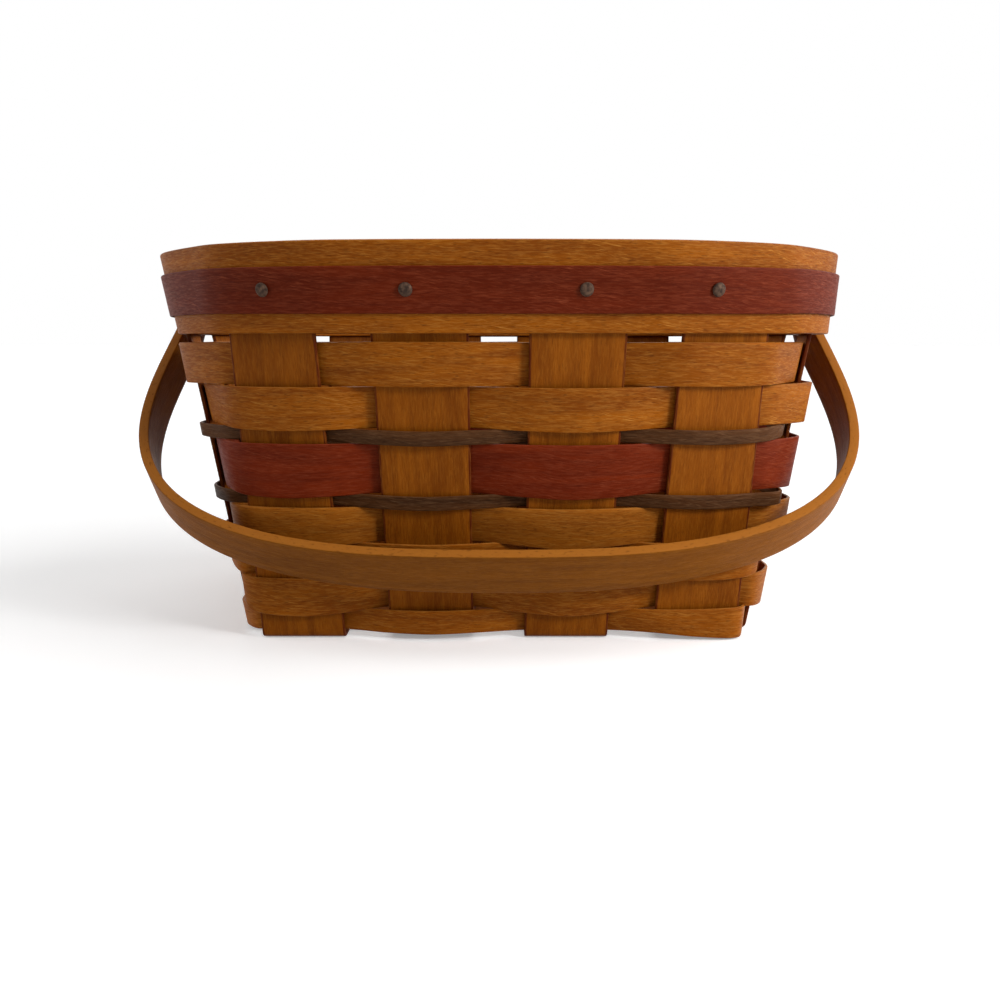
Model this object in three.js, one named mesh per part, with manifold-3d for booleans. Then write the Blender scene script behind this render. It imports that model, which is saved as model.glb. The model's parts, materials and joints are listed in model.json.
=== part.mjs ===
// Hand-woven wood splint basket with a swing handle. Millimetres, +Z up, front towards -Y.
// The origin is the middle of the whole part's footprint, on the surface that it stands on.
import * as THREE from "three";
import { mergeVertices } from "three/addons/utils/BufferGeometryUtils.js";
import Module from "manifold-3d";

const wasm = await Module();
wasm.setup();

// Upright splints: flat strips that run up one wall, under the floor and up the wall opposite
const splintWidth = 28.6;
const splintThickness = 1.2;
const frontSplintCount = 4;
const sideSplintCount = 3;
const frontSplintPitch = 44.3;
const frontMiddleWidening = 1.9;
const sideSplintPitch = 47.9;
const frontCornerMargin = 5.5;
const sideCornerMargin = 10.3;
const foldRun = 3.2;
const foldRise = 1.9;
const wallSteps = 14;
const foldSteps = 4;

// Plan of the walls: an upright rectangle at the floor that leans out to a superellipse at the rim
const frontFlare = 32.9;
const sideFlare = 25;
const rimSquareness = 3;
const floorCornerCut = 1.3;

// Weaving rows, counted from the floor up
const weaverThickness = 1.2;
const floorRowHeight = 8.5;
const lowerRowHeight = 11.8;
const upperRowHeight = 12.4;
const narrowRowHeight = 4.2;
const wideRowHeight = 16;
const firstRowLift = 2.7;
const rowGap = 0.3;
const weaveGap = 0.36;

// Rim: an inner and an outer band that grip the splint tops, and a narrow trim strip over the outer one
const sightGap = 2.7;
const bandHeight = 24.4;
const outerBandThickness = 2;
const innerBandThickness = 2.4;
const innerBandDrop = 0.8;
const trimHeight = 12.3;
const trimThickness = 1;
const buttGap = 0.6;
const bandSteps = 4;

// Tacks through the trim, one at each splint that carries no rivet.
// The front ones were set by eye, so each stands a little to one side of its splint's middle.
// The side ones stand a little towards the rivet.
const frontTackShifts = [1.8, -2.7, 1.2, -6.8];
const sideTackShift = 7;
const tackHeadRadius = 2;
const tackHeadRise = 0.9;
const tackShankRadius = 0.7;
const tackSides = 8;

// Swing handle: a flat bent strip on two rivets, a little wider at the grip than at its arms
const handleArmWidth = 15.2;
const handleGripWidth = 18.8;
const handleThickness = 3.3;
const handleRimClearance = 19.7;
const handleSpread = 16;
const handleSquareness = 2.73;
const handleSteps = 56;
const handleEndSteps = 3;
const handleArmStraight = 6;
const handleStandOff = 2;
const pivotAboveBandEdge = 6.5;
const rivetShankRadius = 2;
const rivetHeadRadius = 4.6;
const rivetHeadRise = 1.8;
const washerRadius = 5;
const washerThickness = 1;
const rivetSides = 16;

// Clearance between pieces that touch, and round a shank in its hole
const seatGap = 0.3;
const holeGap = 0.35;

// Finishes
const naturalWood = new THREE.MeshStandardMaterial({ color: 0xb9772f, roughness: 0.55, metalness: 0 });
const splintWood = new THREE.MeshStandardMaterial({ color: 0xa8602a, roughness: 0.55, metalness: 0 });
const redWood = new THREE.MeshStandardMaterial({ color: 0x8c2a2c, roughness: 0.6, metalness: 0 });
const brownWood = new THREE.MeshStandardMaterial({ color: 0x4a3023, roughness: 0.65, metalness: 0 });
const handleWood = new THREE.MeshStandardMaterial({ color: 0xa9682f, roughness: 0.5, metalness: 0 });
const tackMetal = new THREE.MeshStandardMaterial({ color: 0x6b5644, roughness: 0.5, metalness: 0.8 });
const rivetMetal = new THREE.MeshStandardMaterial({ color: 0x9a7a45, roughness: 0.4, metalness: 0.9 });

const rows = [
  { name: "weaver_row_1_floor", height: floorRowHeight, wood: naturalWood },
  { name: "weaver_row_2", height: lowerRowHeight, wood: naturalWood },
  { name: "weaver_row_3", height: lowerRowHeight, wood: naturalWood },
  { name: "weaver_row_4", height: lowerRowHeight, wood: naturalWood },
  { name: "weaver_row_5_brown", height: narrowRowHeight, wood: brownWood },
  { name: "weaver_row_6_red", height: wideRowHeight, wood: redWood },
  { name: "weaver_row_7_brown", height: narrowRowHeight, wood: brownWood },
  { name: "weaver_row_8", height: upperRowHeight, wood: naturalWood },
  { name: "weaver_row_9", height: upperRowHeight, wood: naturalWood },
];

// Sizes that follow from the driving ones
let rowTop = firstRowLift - rowGap;
for (const row of rows) {
  row.low = rowTop + rowGap;
  rowTop = row.low + row.height;
  row.high = rowTop;
}
const bandLow = rowTop + sightGap;
const bodyHeight = bandLow + bandHeight;
const trimLow = bandLow + (bandHeight - trimHeight) / 2;
const lastFrontEdge = ((frontSplintCount - 1) * frontSplintPitch + frontMiddleWidening + splintWidth) / 2;
const floorHalfWidth = lastFrontEdge + frontCornerMargin;
const floorHalfDepth = ((sideSplintCount - 1) * sideSplintPitch + splintWidth) / 2 + sideCornerMargin;
const rimHalfWidth = floorHalfWidth + sideFlare;
const rimHalfDepth = floorHalfDepth + frontFlare;
const weaveOffset = (splintThickness + weaverThickness) / 2 + weaveGap;
const lapOffset = weaverThickness + weaveGap;
const outerBandOffset = splintThickness / 2 + seatGap + outerBandThickness / 2;
const innerBandOffset = splintThickness / 2 + weaveGap + innerBandThickness / 2;
const trimInner = outerBandThickness / 2 + seatGap;
const trimOuter = trimInner + trimThickness;
const pivotHeight = bandLow + pivotAboveBandEdge;

// Splint middles along a wall: evenly spaced, with the middle gap widened
function splintPlaces(count, pitch, widening) {
  const steps = Array.from({ length: count }, (unused, i) => i - (count - 1) / 2);
  return steps.map((step) => step * pitch + (Math.sign(step) * widening) / 2);
}

const frontPlaces = splintPlaces(frontSplintCount, frontSplintPitch, frontMiddleWidening);
const sidePlaces = splintPlaces(sideSplintCount, sideSplintPitch, 0);

// The four walls in order round the basket: front, right, back, left.
// along runs to the right as seen from outside, and half is the distance out from the middle.
const walls = [0, 1, 2, 3].map((turn) => {
  const faces = turn % 2 === 0;
  return {
    turn,
    places: faces ? frontPlaces : sidePlaces,
    floorHalf: faces ? floorHalfDepth : floorHalfWidth,
    rimHalf: faces ? rimHalfDepth : rimHalfWidth,
    rimSpan: faces ? rimHalfWidth : rimHalfDepth,
  };
});

const stakes = walls.flatMap((wall) => {
  return wall.places.map((along) => ({ wall, along }));
});

// A point or direction of the front wall, turned to the wall that it belongs to
function turned(wall, x, y, z) {
  return new THREE.Vector3(x, y, z).applyAxisAngle(new THREE.Vector3(0, 0, 1), (wall.turn * Math.PI) / 2);
}

// How far out the rim stands at a place along a wall, and the way that its outline slopes there
function rimReach(wall, along) {
  const share = Math.abs(along) / wall.rimSpan;
  const rest = 1 - share ** rimSquareness;
  const reach = wall.rimHalf * rest ** (1 / rimSquareness);
  const bend = share ** (rimSquareness - 1) * rest ** (1 / rimSquareness - 1);
  return { reach, tilt: -Math.sign(along) * Math.atan((wall.rimHalf / wall.rimSpan) * bend) };
}

// The middle of an upright splint at a height, with its directions along the wall and out of it
function stakeAt(stake, height) {
  const { wall, along } = stake;
  const rise = height / bodyHeight;
  const rim = rimReach(wall, along);
  const out = THREE.MathUtils.lerp(wall.floorHalf, rim.reach, rise);
  const tilt = rim.tilt * rise;
  return {
    middle: turned(wall, along, -out, height),
    across: turned(wall, Math.cos(tilt), -Math.sin(tilt), 0),
    outward: turned(wall, -Math.sin(tilt), -Math.cos(tilt), 0),
  };
}

// The corner that follows a wall, at a height, moved out by an offset
function cornerAt(wall, height, offset) {
  const diagonal = 0.5 ** (1 / rimSquareness);
  const rise = height / bodyHeight;
  const next = walls[(wall.turn + 1) % walls.length];
  const span = THREE.MathUtils.lerp(next.floorHalf - floorCornerCut, next.rimHalf * diagonal, rise);
  const out = THREE.MathUtils.lerp(wall.floorHalf - floorCornerCut, wall.rimHalf * diagonal, rise);
  const shift = offset * Math.SQRT1_2;
  return turned(wall, span + shift, -out - shift, height);
}

// A point on the flat of a splint: across runs from -1 at its left edge to 1 at its right edge
function stakePoint(stake, height, across, offset) {
  const at = stakeAt(stake, height);
  const reach = (splintWidth / 2) * across;
  return at.middle.addScaledVector(at.across, reach).addScaledVector(at.outward, offset);
}

// Points that a strip passes on its way round the walls, starting with one stake and back to it.
// offsets holds one offset for each stake passed, and places the points taken on each stake.
function ringPoints(height, first, offsets, places) {
  const points = [];
  offsets.forEach((offset, step) => {
    const stake = stakes[(first + step) % stakes.length];
    const next = stakes[(first + step + 1) % stakes.length];
    for (const place of places) points.push(stakePoint(stake, height, place, offset));
    const last = step === offsets.length - 1;
    if (stake.wall !== next.wall && !(last && offsets.length > stakes.length)) {
      const cornerOffset = last ? offset : (offset + offsets[step + 1]) / 2;
      points.push(cornerAt(stake.wall, height, cornerOffset));
    }
  });
  return points;
}

// Whether the triangles of a closed solid look outwards: the volume that they enclose is then positive
function facesOut(points, index) {
  let volume = 0;
  for (let i = 0; i < index.length; i += 3) {
    const [a, b, c] = index.slice(i, i + 3).map((place) => points[place]);
    volume += a.dot(b.clone().cross(c));
  }
  return volume > 0;
}

// A closed solid from a run of four-cornered sections, capped at its ends
function stripGeometry(sections) {
  const corners = 4;
  const points = sections.flat();
  const index = [];
  for (let s = 0; s + 1 < sections.length; s++) {
    for (let c = 0; c < corners; c++) {
      const a = s * corners + c;
      const b = s * corners + ((c + 1) % corners);
      index.push(a, b, b + corners, a, b + corners, a + corners);
    }
  }
  const end = (sections.length - 1) * corners;
  index.push(0, 2, 1, 0, 3, 2, end, end + 1, end + 2, end, end + 2, end + 3);
  const geometry = new THREE.BufferGeometry().setFromPoints(points);
  geometry.setIndex(facesOut(points, index) ? index : index.reverse());
  return geometry;
}

// A strip that stands on edge between a low and a high curve, from an inner to an outer distance off them
function uprightStrip(lowCurve, highCurve, shares, inner, outer) {
  const sections = shares.map((share) => {
    const low = lowCurve.getPoint(share);
    const high = highCurve.getPoint(share);
    const along = lowCurve.getTangent(share).add(highCurve.getTangent(share));
    const outward = along.cross(high.clone().sub(low)).normalize();
    const corner = (edge, distance) => edge.clone().addScaledVector(outward, distance);
    return [corner(low, inner), corner(high, inner), corner(high, outer), corner(low, outer)];
  });
  return stripGeometry(sections);
}

const evenShares = (steps) => Array.from({ length: steps + 1 }, (unused, i) => i / steps);

// A weaver goes over and under the splints for one full turn, and laps its own start inside the last one
function weaverGeometry(row, rowIndex) {
  const first = frontSplintCount + sideSplintCount + 1 + (rowIndex % 2);
  const offsets = stakes.map((unused, step) => ((first + step + rowIndex) % 2 === 1 ? 1 : -1) * weaveOffset);
  offsets.push(offsets[0] - lapOffset);
  const curveAt = (height) => new THREE.CatmullRomCurve3(ringPoints(height, first, offsets, [-1, 0, 1]));
  const low = curveAt(row.low);
  const shares = evenShares(low.points.length - 1);
  return uprightStrip(low, curveAt(row.high), shares, -weaverThickness / 2, weaverThickness / 2);
}

// A closed curve that lies flat against the splints all round, for the bands and the trim
function bandCurve(height, offset) {
  const places = offset > 0 ? [-1, 1] : [0];
  const points = ringPoints(height, 0, stakes.map(() => offset), places);
  return new THREE.CatmullRomCurve3(points, true);
}

// A band is cut to length, so its two ends meet at a narrow butt joint
function bandGeometry(low, high, offset, inner, outer, jointShare) {
  const lowCurve = bandCurve(low, offset);
  const gapShare = buttGap / lowCurve.getLength();
  const steps = lowCurve.points.length * bandSteps;
  const shares = evenShares(steps).map((share) => (jointShare + gapShare / 2 + share * (1 - gapShare)) % 1);
  return uprightStrip(lowCurve, bandCurve(high, offset), shares, inner, outer);
}

// The place of a stake's middle on a closed band curve that takes two points from each stake,
// or of a point shifted to the right of it
function stakeShare(stakeIndex, shift = 0) {
  const cornersBefore = stakes[stakeIndex].wall.turn;
  const place = 2 * stakeIndex + cornersBefore + 0.5 + shift / splintWidth;
  return place / (2 * stakes.length + walls.length);
}

// A point on the outer face of the trim at a stake, with the way that the face looks
function trimFace(stakeIndex, height, shift = 0) {
  const curve = bandCurve(height, outerBandOffset);
  const share = stakeShare(stakeIndex, shift);
  const above = bandCurve(height + 1, outerBandOffset).getPoint(share);
  const at = curve.getPoint(share);
  const outward = curve.getTangent(share).cross(above.sub(at)).normalize();
  return { at: at.addScaledVector(outward, trimOuter), outward };
}

// Floor weave: at each crossing one splint lies low and the other high, turn about
const floorLow = splintThickness / 2;
const floorHigh = floorLow + splintThickness + seatGap;

// A splint's middle line in its own upright plane: along is the way across the floor, height is up
function splintLine(stake, crossings, startsLow) {
  const edge = splintWidth / 2 + seatGap;
  const floorPoints = crossings.flatMap((place, i) => {
    const height = (i % 2 === 0) === startsLow ? floorLow : floorHigh;
    return [new THREE.Vector2(place - edge, height), new THREE.Vector2(place + edge, height)];
  });
  const half = stake.wall.floorHalf;
  const lean = (rimReach(stake.wall, stake.along).reach - half) / bodyHeight;
  const wallPoint = (height) => new THREE.Vector2(half + lean * height, height);
  const climbFrom = (last) => {
    const foldTop = last.y + foldRise;
    const foldStart = new THREE.Vector2(Math.max(Math.abs(last.x) + seatGap, half - foldRun), last.y);
    const fold = new THREE.QuadraticBezierCurve(foldStart, wallPoint(last.y), wallPoint(foldTop));
    const climb = bodyHeight - innerBandDrop - foldTop;
    const heights = evenShares(wallSteps).map((share) => foldTop + share * climb);
    return [...fold.getPoints(foldSteps), ...heights.slice(1).map(wallPoint)];
  };
  const start = climbFrom(floorPoints[0]).map((point) => new THREE.Vector2(-point.x, point.y));
  return [...start.reverse(), ...floorPoints, ...climbFrom(floorPoints.at(-1))];
}

// A splint from rim to rim, turning with the wall as it climbs
function splintGeometry(stake, crossings, startsLow) {
  const line = splintLine(stake, crossings, startsLow);
  const sections = line.map((point, i) => {
    const before = line[Math.max(i - 1, 0)];
    const after = line[Math.min(i + 1, line.length - 1)];
    const run = after.clone().sub(before).normalize();
    const climbs = point.y > floorHigh && Math.abs(point.x) > stake.wall.floorHalf - foldRun;
    const rimTilt = rimReach(stake.wall, stake.along).tilt * Math.sign(point.x);
    const tilt = climbs ? rimTilt * (point.y / bodyHeight) : 0;
    const across = new THREE.Vector3(Math.cos(tilt), Math.sin(tilt), 0).multiplyScalar(splintWidth / 2);
    const along = new THREE.Vector3(-Math.sin(tilt) * run.x, Math.cos(tilt) * run.x, run.y);
    const half = across.clone().cross(along).setLength(splintThickness / 2);
    const middle = new THREE.Vector3(stake.along, point.x, point.y);
    const corner = (side, face) => middle.clone().addScaledVector(across, side).addScaledVector(half, face);
    return [corner(-1, -1), corner(1, -1), corner(1, 1), corner(-1, 1)].map((p) =>
      p.applyAxisAngle(new THREE.Vector3(0, 0, 1), (stake.wall.turn * Math.PI) / 2),
    );
  });
  return stripGeometry(sections);
}

// Boolean cuts
function solidOf(geometry) {
  const bare = geometry.clone();
  bare.deleteAttribute("normal");
  bare.deleteAttribute("uv");
  const merged = mergeVertices(bare, 1e-4);
  const vertProperties = merged.attributes.position.array;
  const triVerts = new Uint32Array(merged.index.array);
  return new wasm.Manifold(new wasm.Mesh({ numProp: 3, vertProperties, triVerts }));
}

function drilled(geometry, drills) {
  const cut = drills.reduce((solid, drill) => solid.subtract(solidOf(drill)), solidOf(geometry));
  const mesh = cut.getMesh();
  const result = new THREE.BufferGeometry();
  result.setAttribute("position", new THREE.BufferAttribute(mesh.vertProperties, 3));
  result.setIndex(new THREE.BufferAttribute(mesh.triVerts, 1));
  return result;
}

// A round bar along X, for drilling
function crossDrill(radius, from, to, y, z) {
  const bar = new THREE.CylinderGeometry(radius, radius, to - from, rivetSides);
  return bar.rotateZ(Math.PI / 2).translate((from + to) / 2, y, z);
}

// Where the rivets sit: their heads, the washer and the handle's arm, out from the middle along X
const rightRivetStake = frontSplintCount + (sideSplintCount - 1) / 2;
const washerIn = trimFace(rightRivetStake, pivotHeight + washerRadius).at.x + seatGap;
const armIn = washerIn + washerThickness + seatGap;
const armOut = armIn + handleThickness;
const rivetHeadIn = armOut + seatGap;
const innerBandFace = bandCurve(pivotHeight - rivetHeadRadius, -innerBandOffset - innerBandThickness / 2);
const innerFaceAt = (rightRivetStake + stakes[rightRivetStake].wall.turn) / innerBandFace.points.length;
const rivetTailOut = innerBandFace.getPoint(innerFaceAt).x - seatGap;
const rivetHole = rivetShankRadius + holeGap;

// The handle's middle line in its own plane: x across and reach out from the pivots
const handleReach = rimHalfDepth + handleRimClearance - handleThickness / 2;
const handleHalfSpan = armIn + handleThickness / 2;

function handlePoint(share) {
  const turn = Math.PI * share;
  const power = 2 / handleSquareness;
  const side = Math.sign(Math.cos(turn));
  const x = handleHalfSpan * side * Math.abs(Math.cos(turn)) ** power + handleSpread * Math.sin(2 * turn);
  const bendReach = handleReach - handleArmStraight;
  return new THREE.Vector2(x, handleArmStraight + bendReach * Math.abs(Math.sin(turn)) ** power);
}

// Half the strip's width at a point of its middle line
function handleHalfWidth(point) {
  const inward = 1 - (point.x / handleHalfSpan) ** 2;
  return THREE.MathUtils.lerp(handleArmWidth, handleGripWidth, inward ** 2) / 2;
}

// Sections from the right arm's end, round the crown, to the left arm's end
function handleGeometry() {
  const section = (point, normal, halfWidth) => {
    const half = handleThickness / 2;
    const corner = (face, edge) => {
      const at = point.clone().addScaledVector(normal, face * half);
      return new THREE.Vector3(at.x, -at.y, edge * halfWidth);
    };
    return [corner(-1, -1), corner(1, -1), corner(1, 1), corner(-1, 1)];
  };
  const endSections = (side) =>
    evenShares(handleEndSteps).map((share) => {
      const turn = (Math.PI / 2) * (1 - share) * (1 - 0.5 / handleEndSteps);
      const point = new THREE.Vector2(side * handleHalfSpan, (-handleArmWidth / 2) * Math.sin(turn));
      return section(point, new THREE.Vector2(side, 0), (handleArmWidth / 2) * Math.cos(turn));
    });
  const shares = evenShares(handleSteps);
  const bend = shares.map((share, i) => {
    const before = handlePoint(shares[Math.max(i - 1, 0)]);
    const after = handlePoint(shares[Math.min(i + 1, handleSteps)]);
    const run = after.sub(before).normalize();
    const atPivot = i === 0 || i === handleSteps;
    const normal = atPivot ? new THREE.Vector2(i === 0 ? 1 : -1, 0) : new THREE.Vector2(run.y, -run.x);
    const point = handlePoint(share);
    return section(point, normal, handleHalfWidth(point));
  });
  const strip = stripGeometry([...endSections(1), ...bend, ...endSections(-1).reverse()]);
  const clear = armOut + handleThickness;
  return drilled(strip, [crossDrill(rivetHole, -clear, clear, 0, 0)]);
}

// The handle hangs forward until its crown stands just off the weave: the angle below level, in radians
function handleRestAngle() {
  const wallOut = weaveOffset + weaverThickness;
  const clearance = (angle) => {
    const gaps = evenShares(handleSteps).map((share) => {
      const point = handlePoint(share);
      const inner = point.y - handleThickness / 2;
      const half = handleHalfWidth(point);
      const y = -inner * Math.cos(angle) + half * Math.sin(angle);
      const z = pivotHeight - inner * Math.sin(angle) - half * Math.cos(angle);
      if (Math.abs(point.x) > lastFrontEdge) return Infinity;
      const rim = rimReach(walls[0], point.x).reach;
      return -y - THREE.MathUtils.lerp(floorHalfDepth, rim, z / bodyHeight) - wallOut;
    });
    return Math.min(...gaps) - handleStandOff;
  };
  let low = 0;
  let high = Math.PI / 2;
  const halvings = 40;
  for (let i = 0; i < halvings; i++) {
    const middle = (low + high) / 2;
    if (clearance(middle) > 0) low = middle;
    else high = middle;
  }
  return low;
}

// A domed tack that stands on +Y, its shank reaching down through the trim
function tackGeometry() {
  const shank = seatGap + trimThickness;
  const profile = [
    [0, -shank],
    [tackShankRadius, -shank],
    [tackShankRadius, 0],
    [tackHeadRadius, 0],
    [tackHeadRadius * 0.85, tackHeadRise * 0.6],
    [0, tackHeadRise],
  ];
  return new THREE.LatheGeometry(profile.map(([r, y]) => new THREE.Vector2(r, y)), tackSides);
}

// A rivet along +X: its tail inside the inner band, its shank, and its domed head outside the handle's arm
function rivetGeometry() {
  const profile = [
    [0, rivetTailOut - rivetHeadRise],
    [rivetHeadRadius * 0.7, rivetTailOut - rivetHeadRise * 0.7],
    [rivetHeadRadius, rivetTailOut],
    [rivetShankRadius, rivetTailOut],
    [rivetShankRadius, rivetHeadIn],
    [rivetHeadRadius, rivetHeadIn],
    [rivetHeadRadius * 0.7, rivetHeadIn + rivetHeadRise * 0.7],
    [0, rivetHeadIn + rivetHeadRise],
  ];
  const points = profile.map(([r, y]) => new THREE.Vector2(r, y));
  return new THREE.LatheGeometry(points, rivetSides).rotateZ(-Math.PI / 2);
}

function washerGeometry() {
  const profile = [
    [rivetHole, washerIn],
    [washerRadius, washerIn],
    [washerRadius, washerIn + washerThickness],
    [rivetHole, washerIn + washerThickness],
    [rivetHole, washerIn],
  ];
  const points = profile.map(([r, y]) => new THREE.Vector2(r, y));
  return new THREE.LatheGeometry(points, rivetSides).rotateZ(-Math.PI / 2);
}

const basket = new THREE.Group();

function addPiece(name, geometry, material, parent = basket) {
  const mesh = new THREE.Mesh(geometry, material);
  mesh.name = name;
  parent.add(mesh);
  return mesh;
}

// Holes along X at the height of the pivots, through the rim on both sides
const rivetDrills = [crossDrill(rivetHole, -armIn, armIn, 0, pivotHeight)];

// Splints: the front-to-back set rides high where the side-to-side set rides low
frontPlaces.forEach((along, i) => {
  const geometry = splintGeometry({ wall: walls[0], along }, sidePlaces, i % 2 === 0);
  addPiece(`splint_front_back_${i + 1}`, geometry, splintWood);
});
sidePlaces.forEach((along, i) => {
  const geometry = splintGeometry({ wall: walls[1], along }, frontPlaces, i % 2 === 0);
  const rivets = i === (sideSplintCount - 1) / 2;
  addPiece(`splint_side_side_${i + 1}`, rivets ? drilled(geometry, rivetDrills) : geometry, splintWood);
});

rows.forEach((row, i) => addPiece(row.name, weaverGeometry(row, i), row.wood));

// Rim bands, their butt joints staggered along the back
const firstBackStake = frontSplintCount + sideSplintCount;
const jointAfter = (stakeIndex) => (stakeShare(stakeIndex) + stakeShare(stakeIndex + 1)) / 2;
const innerTop = bodyHeight - innerBandDrop;
const trimTop = trimLow + trimHeight;
const outerHalf = outerBandThickness / 2;
const innerHalf = innerBandThickness / 2;
const outerJoint = jointAfter(firstBackStake + 1);
const innerJoint = jointAfter(firstBackStake + 2);
const trimJoint = jointAfter(firstBackStake);
const outerBand = bandGeometry(bandLow, bodyHeight, outerBandOffset, -outerHalf, outerHalf, outerJoint);
const innerBand = bandGeometry(bandLow, innerTop, -innerBandOffset, -innerHalf, innerHalf, innerJoint);
const trim = bandGeometry(trimLow, trimTop, outerBandOffset, trimInner, trimOuter, trimJoint);
addPiece("outer_band", drilled(outerBand, rivetDrills), naturalWood);
addPiece("inner_band", drilled(innerBand, rivetDrills), naturalWood);

// Tacks, and the holes that their shanks take in the trim
const tackHeight = trimLow + trimHeight / 2;
const leftRivetStake = stakes.length - 1 - (sideSplintCount - 1) / 2;
const tackStakes = stakes.map((unused, i) => i).filter((i) => i !== rightRivetStake && i !== leftRivetStake);
const tackShift = (i) => {
  if (i < frontSplintCount) return frontTackShifts[i];
  const onSide = stakes[i].wall.turn % 2 === 1;
  const rivetStake = i < firstBackStake ? rightRivetStake : leftRivetStake;
  return onSide ? sideTackShift * Math.sign(rivetStake - i) : 0;
};
const tackPlace = (i) => {
  const face = trimFace(i, tackHeight, tackShift(i));
  const turn = new THREE.Quaternion().setFromUnitVectors(new THREE.Vector3(0, 1, 0), face.outward);
  return { at: face.at.addScaledVector(face.outward, seatGap), turn };
};
const tackDrills = tackStakes.map((i) => {
  const place = tackPlace(i);
  const depth = 4 * trimThickness;
  const radius = tackShankRadius + holeGap;
  const bar = new THREE.CylinderGeometry(radius, radius, depth, tackSides);
  return bar.applyQuaternion(place.turn).translate(place.at.x, place.at.y, place.at.z);
});
addPiece("trim_strip", drilled(trim, [...rivetDrills, ...tackDrills]), redWood);
tackStakes.forEach((i, count) => {
  const place = tackPlace(i);
  const tack = addPiece(`tack_${count + 1}`, tackGeometry(), tackMetal);
  tack.position.copy(place.at);
  tack.quaternion.copy(place.turn);
});

// Rivets and washers, the left pair turned half round
for (const [side, turn] of [["right", 0], ["left", Math.PI]]) {
  const hinge = new THREE.Group();
  hinge.position.z = pivotHeight;
  hinge.rotation.z = turn;
  addPiece(`rivet_${side}`, rivetGeometry(), rivetMetal, hinge);
  addPiece(`washer_${side}`, washerGeometry(), rivetMetal, hinge);
  basket.add(hinge);
}

// The handle, hanging forward from its rivets
const swing = new THREE.Group();
swing.position.z = pivotHeight;
swing.rotation.x = handleRestAngle();
addPiece("handle", handleGeometry(), handleWood, swing);
basket.add(swing);

// The middle of the footprint becomes the origin
const box = new THREE.Box3().setFromObject(basket, true);
const middle = box.getCenter(new THREE.Vector3());
basket.position.set(-middle.x, -middle.y, -box.min.z);

const part = new THREE.Group();
part.add(basket);
export default part;
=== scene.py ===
"""Looks of the woven market basket: fine strips in place of the solids, finishes, light and camera."""

import json
import math

import bpy
import numpy as np
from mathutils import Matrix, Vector


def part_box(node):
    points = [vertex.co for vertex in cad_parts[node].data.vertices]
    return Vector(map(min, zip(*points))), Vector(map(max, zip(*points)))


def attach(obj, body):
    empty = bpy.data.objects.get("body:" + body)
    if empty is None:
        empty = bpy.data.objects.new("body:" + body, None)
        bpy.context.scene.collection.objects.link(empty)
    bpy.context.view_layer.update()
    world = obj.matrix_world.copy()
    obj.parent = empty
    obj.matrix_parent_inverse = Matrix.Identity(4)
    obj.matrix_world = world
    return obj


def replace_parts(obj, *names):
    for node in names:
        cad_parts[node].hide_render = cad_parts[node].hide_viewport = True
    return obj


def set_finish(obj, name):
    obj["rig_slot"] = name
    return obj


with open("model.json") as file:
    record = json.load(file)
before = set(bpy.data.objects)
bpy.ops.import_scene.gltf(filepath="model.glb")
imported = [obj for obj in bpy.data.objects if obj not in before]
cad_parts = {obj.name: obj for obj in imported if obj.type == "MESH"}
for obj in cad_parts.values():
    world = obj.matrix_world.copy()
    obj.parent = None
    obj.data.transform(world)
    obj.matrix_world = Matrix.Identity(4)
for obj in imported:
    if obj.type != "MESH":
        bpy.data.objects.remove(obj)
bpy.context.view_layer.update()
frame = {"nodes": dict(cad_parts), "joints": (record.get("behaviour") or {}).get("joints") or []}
scene = bpy.context.scene

# Sizes are in millimetres, and meshes are made in metres
MM = 0.001

# Counts of walls, of uprights along the front and along a side, and of tacks
WALL_COUNT = 4
FRONT_COUNT = 4
SIDE_COUNT = 3
TACK_COUNT = 12
# The sides that have a rivet, and the way that each faces along X
RIVET_SIGNS = {"right": 1, "left": -1}

# Walls: a rectangle at the floor that leans out to a superellipse at the rim
BODY_HEIGHT = 125.3
FLOOR_HALF_WIDTH = 87.2
FLOOR_HALF_DEPTH = 72.5
FRONT_FLARE = 32.9
SIDE_FLARE = 25.0
RIM_SQUARENESS = 3.0
FLOOR_CORNER_CUT = 1.3

# Strips
SPLINT_WIDTH = 28.6
SPLINT_THICKNESS = 1.2
WEAVER_THICKNESS = 1.1
WEAVE_GAP = 0.36
SEAT_GAP = 0.3
SPLINT_TOP_DROP = 0.8
FOLD_RUN = 3.2
FOLD_RISE = 1.9
# A leaning strip's box reaches this far past the middle of its edge
STRIP_LEAN = 0.12

# Height of an upright's middle on the floor, where it goes under and over another
LOW_SEAT = SPLINT_THICKNESS / 2
HIGH_SEAT = LOW_SEAT + SPLINT_THICKNESS + SEAT_GAP

# Rim
OUTER_BAND_THICKNESS = 2.0
INNER_BAND_THICKNESS = 2.4
TRIM_THICKNESS = 1.0
BUTT_GAP = 0.6
OUTER_OFFSET = SPLINT_THICKNESS / 2 + SEAT_GAP + OUTER_BAND_THICKNESS / 2
INNER_OFFSET = SPLINT_THICKNESS / 2 + WEAVE_GAP + INNER_BAND_THICKNESS / 2
TRIM_SHIFT = OUTER_BAND_THICKNESS / 2 + SEAT_GAP + TRIM_THICKNESS / 2
# A joint's place in the span that follows its upright
JOINT_PLACE = 0.5
# The bands stand off the front right corner at their lower edge, so that they rise straight there
CORNER_STAND_OFF = 3.0
STAND_OFF_HEIGHT = 26.0

# Handle
HANDLE_ARM_WIDTH = 15.2
HANDLE_GRIP_WIDTH = 18.8
HANDLE_THICKNESS = 3.3
HANDLE_REACH = 125.1
HANDLE_SPREAD = 16.0
HANDLE_SQUARENESS = 2.73
HANDLE_STRAIGHT = 6.0

# Tacks and rivets
TACK_RISE = 0.9
TACK_SIDES = 20
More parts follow.
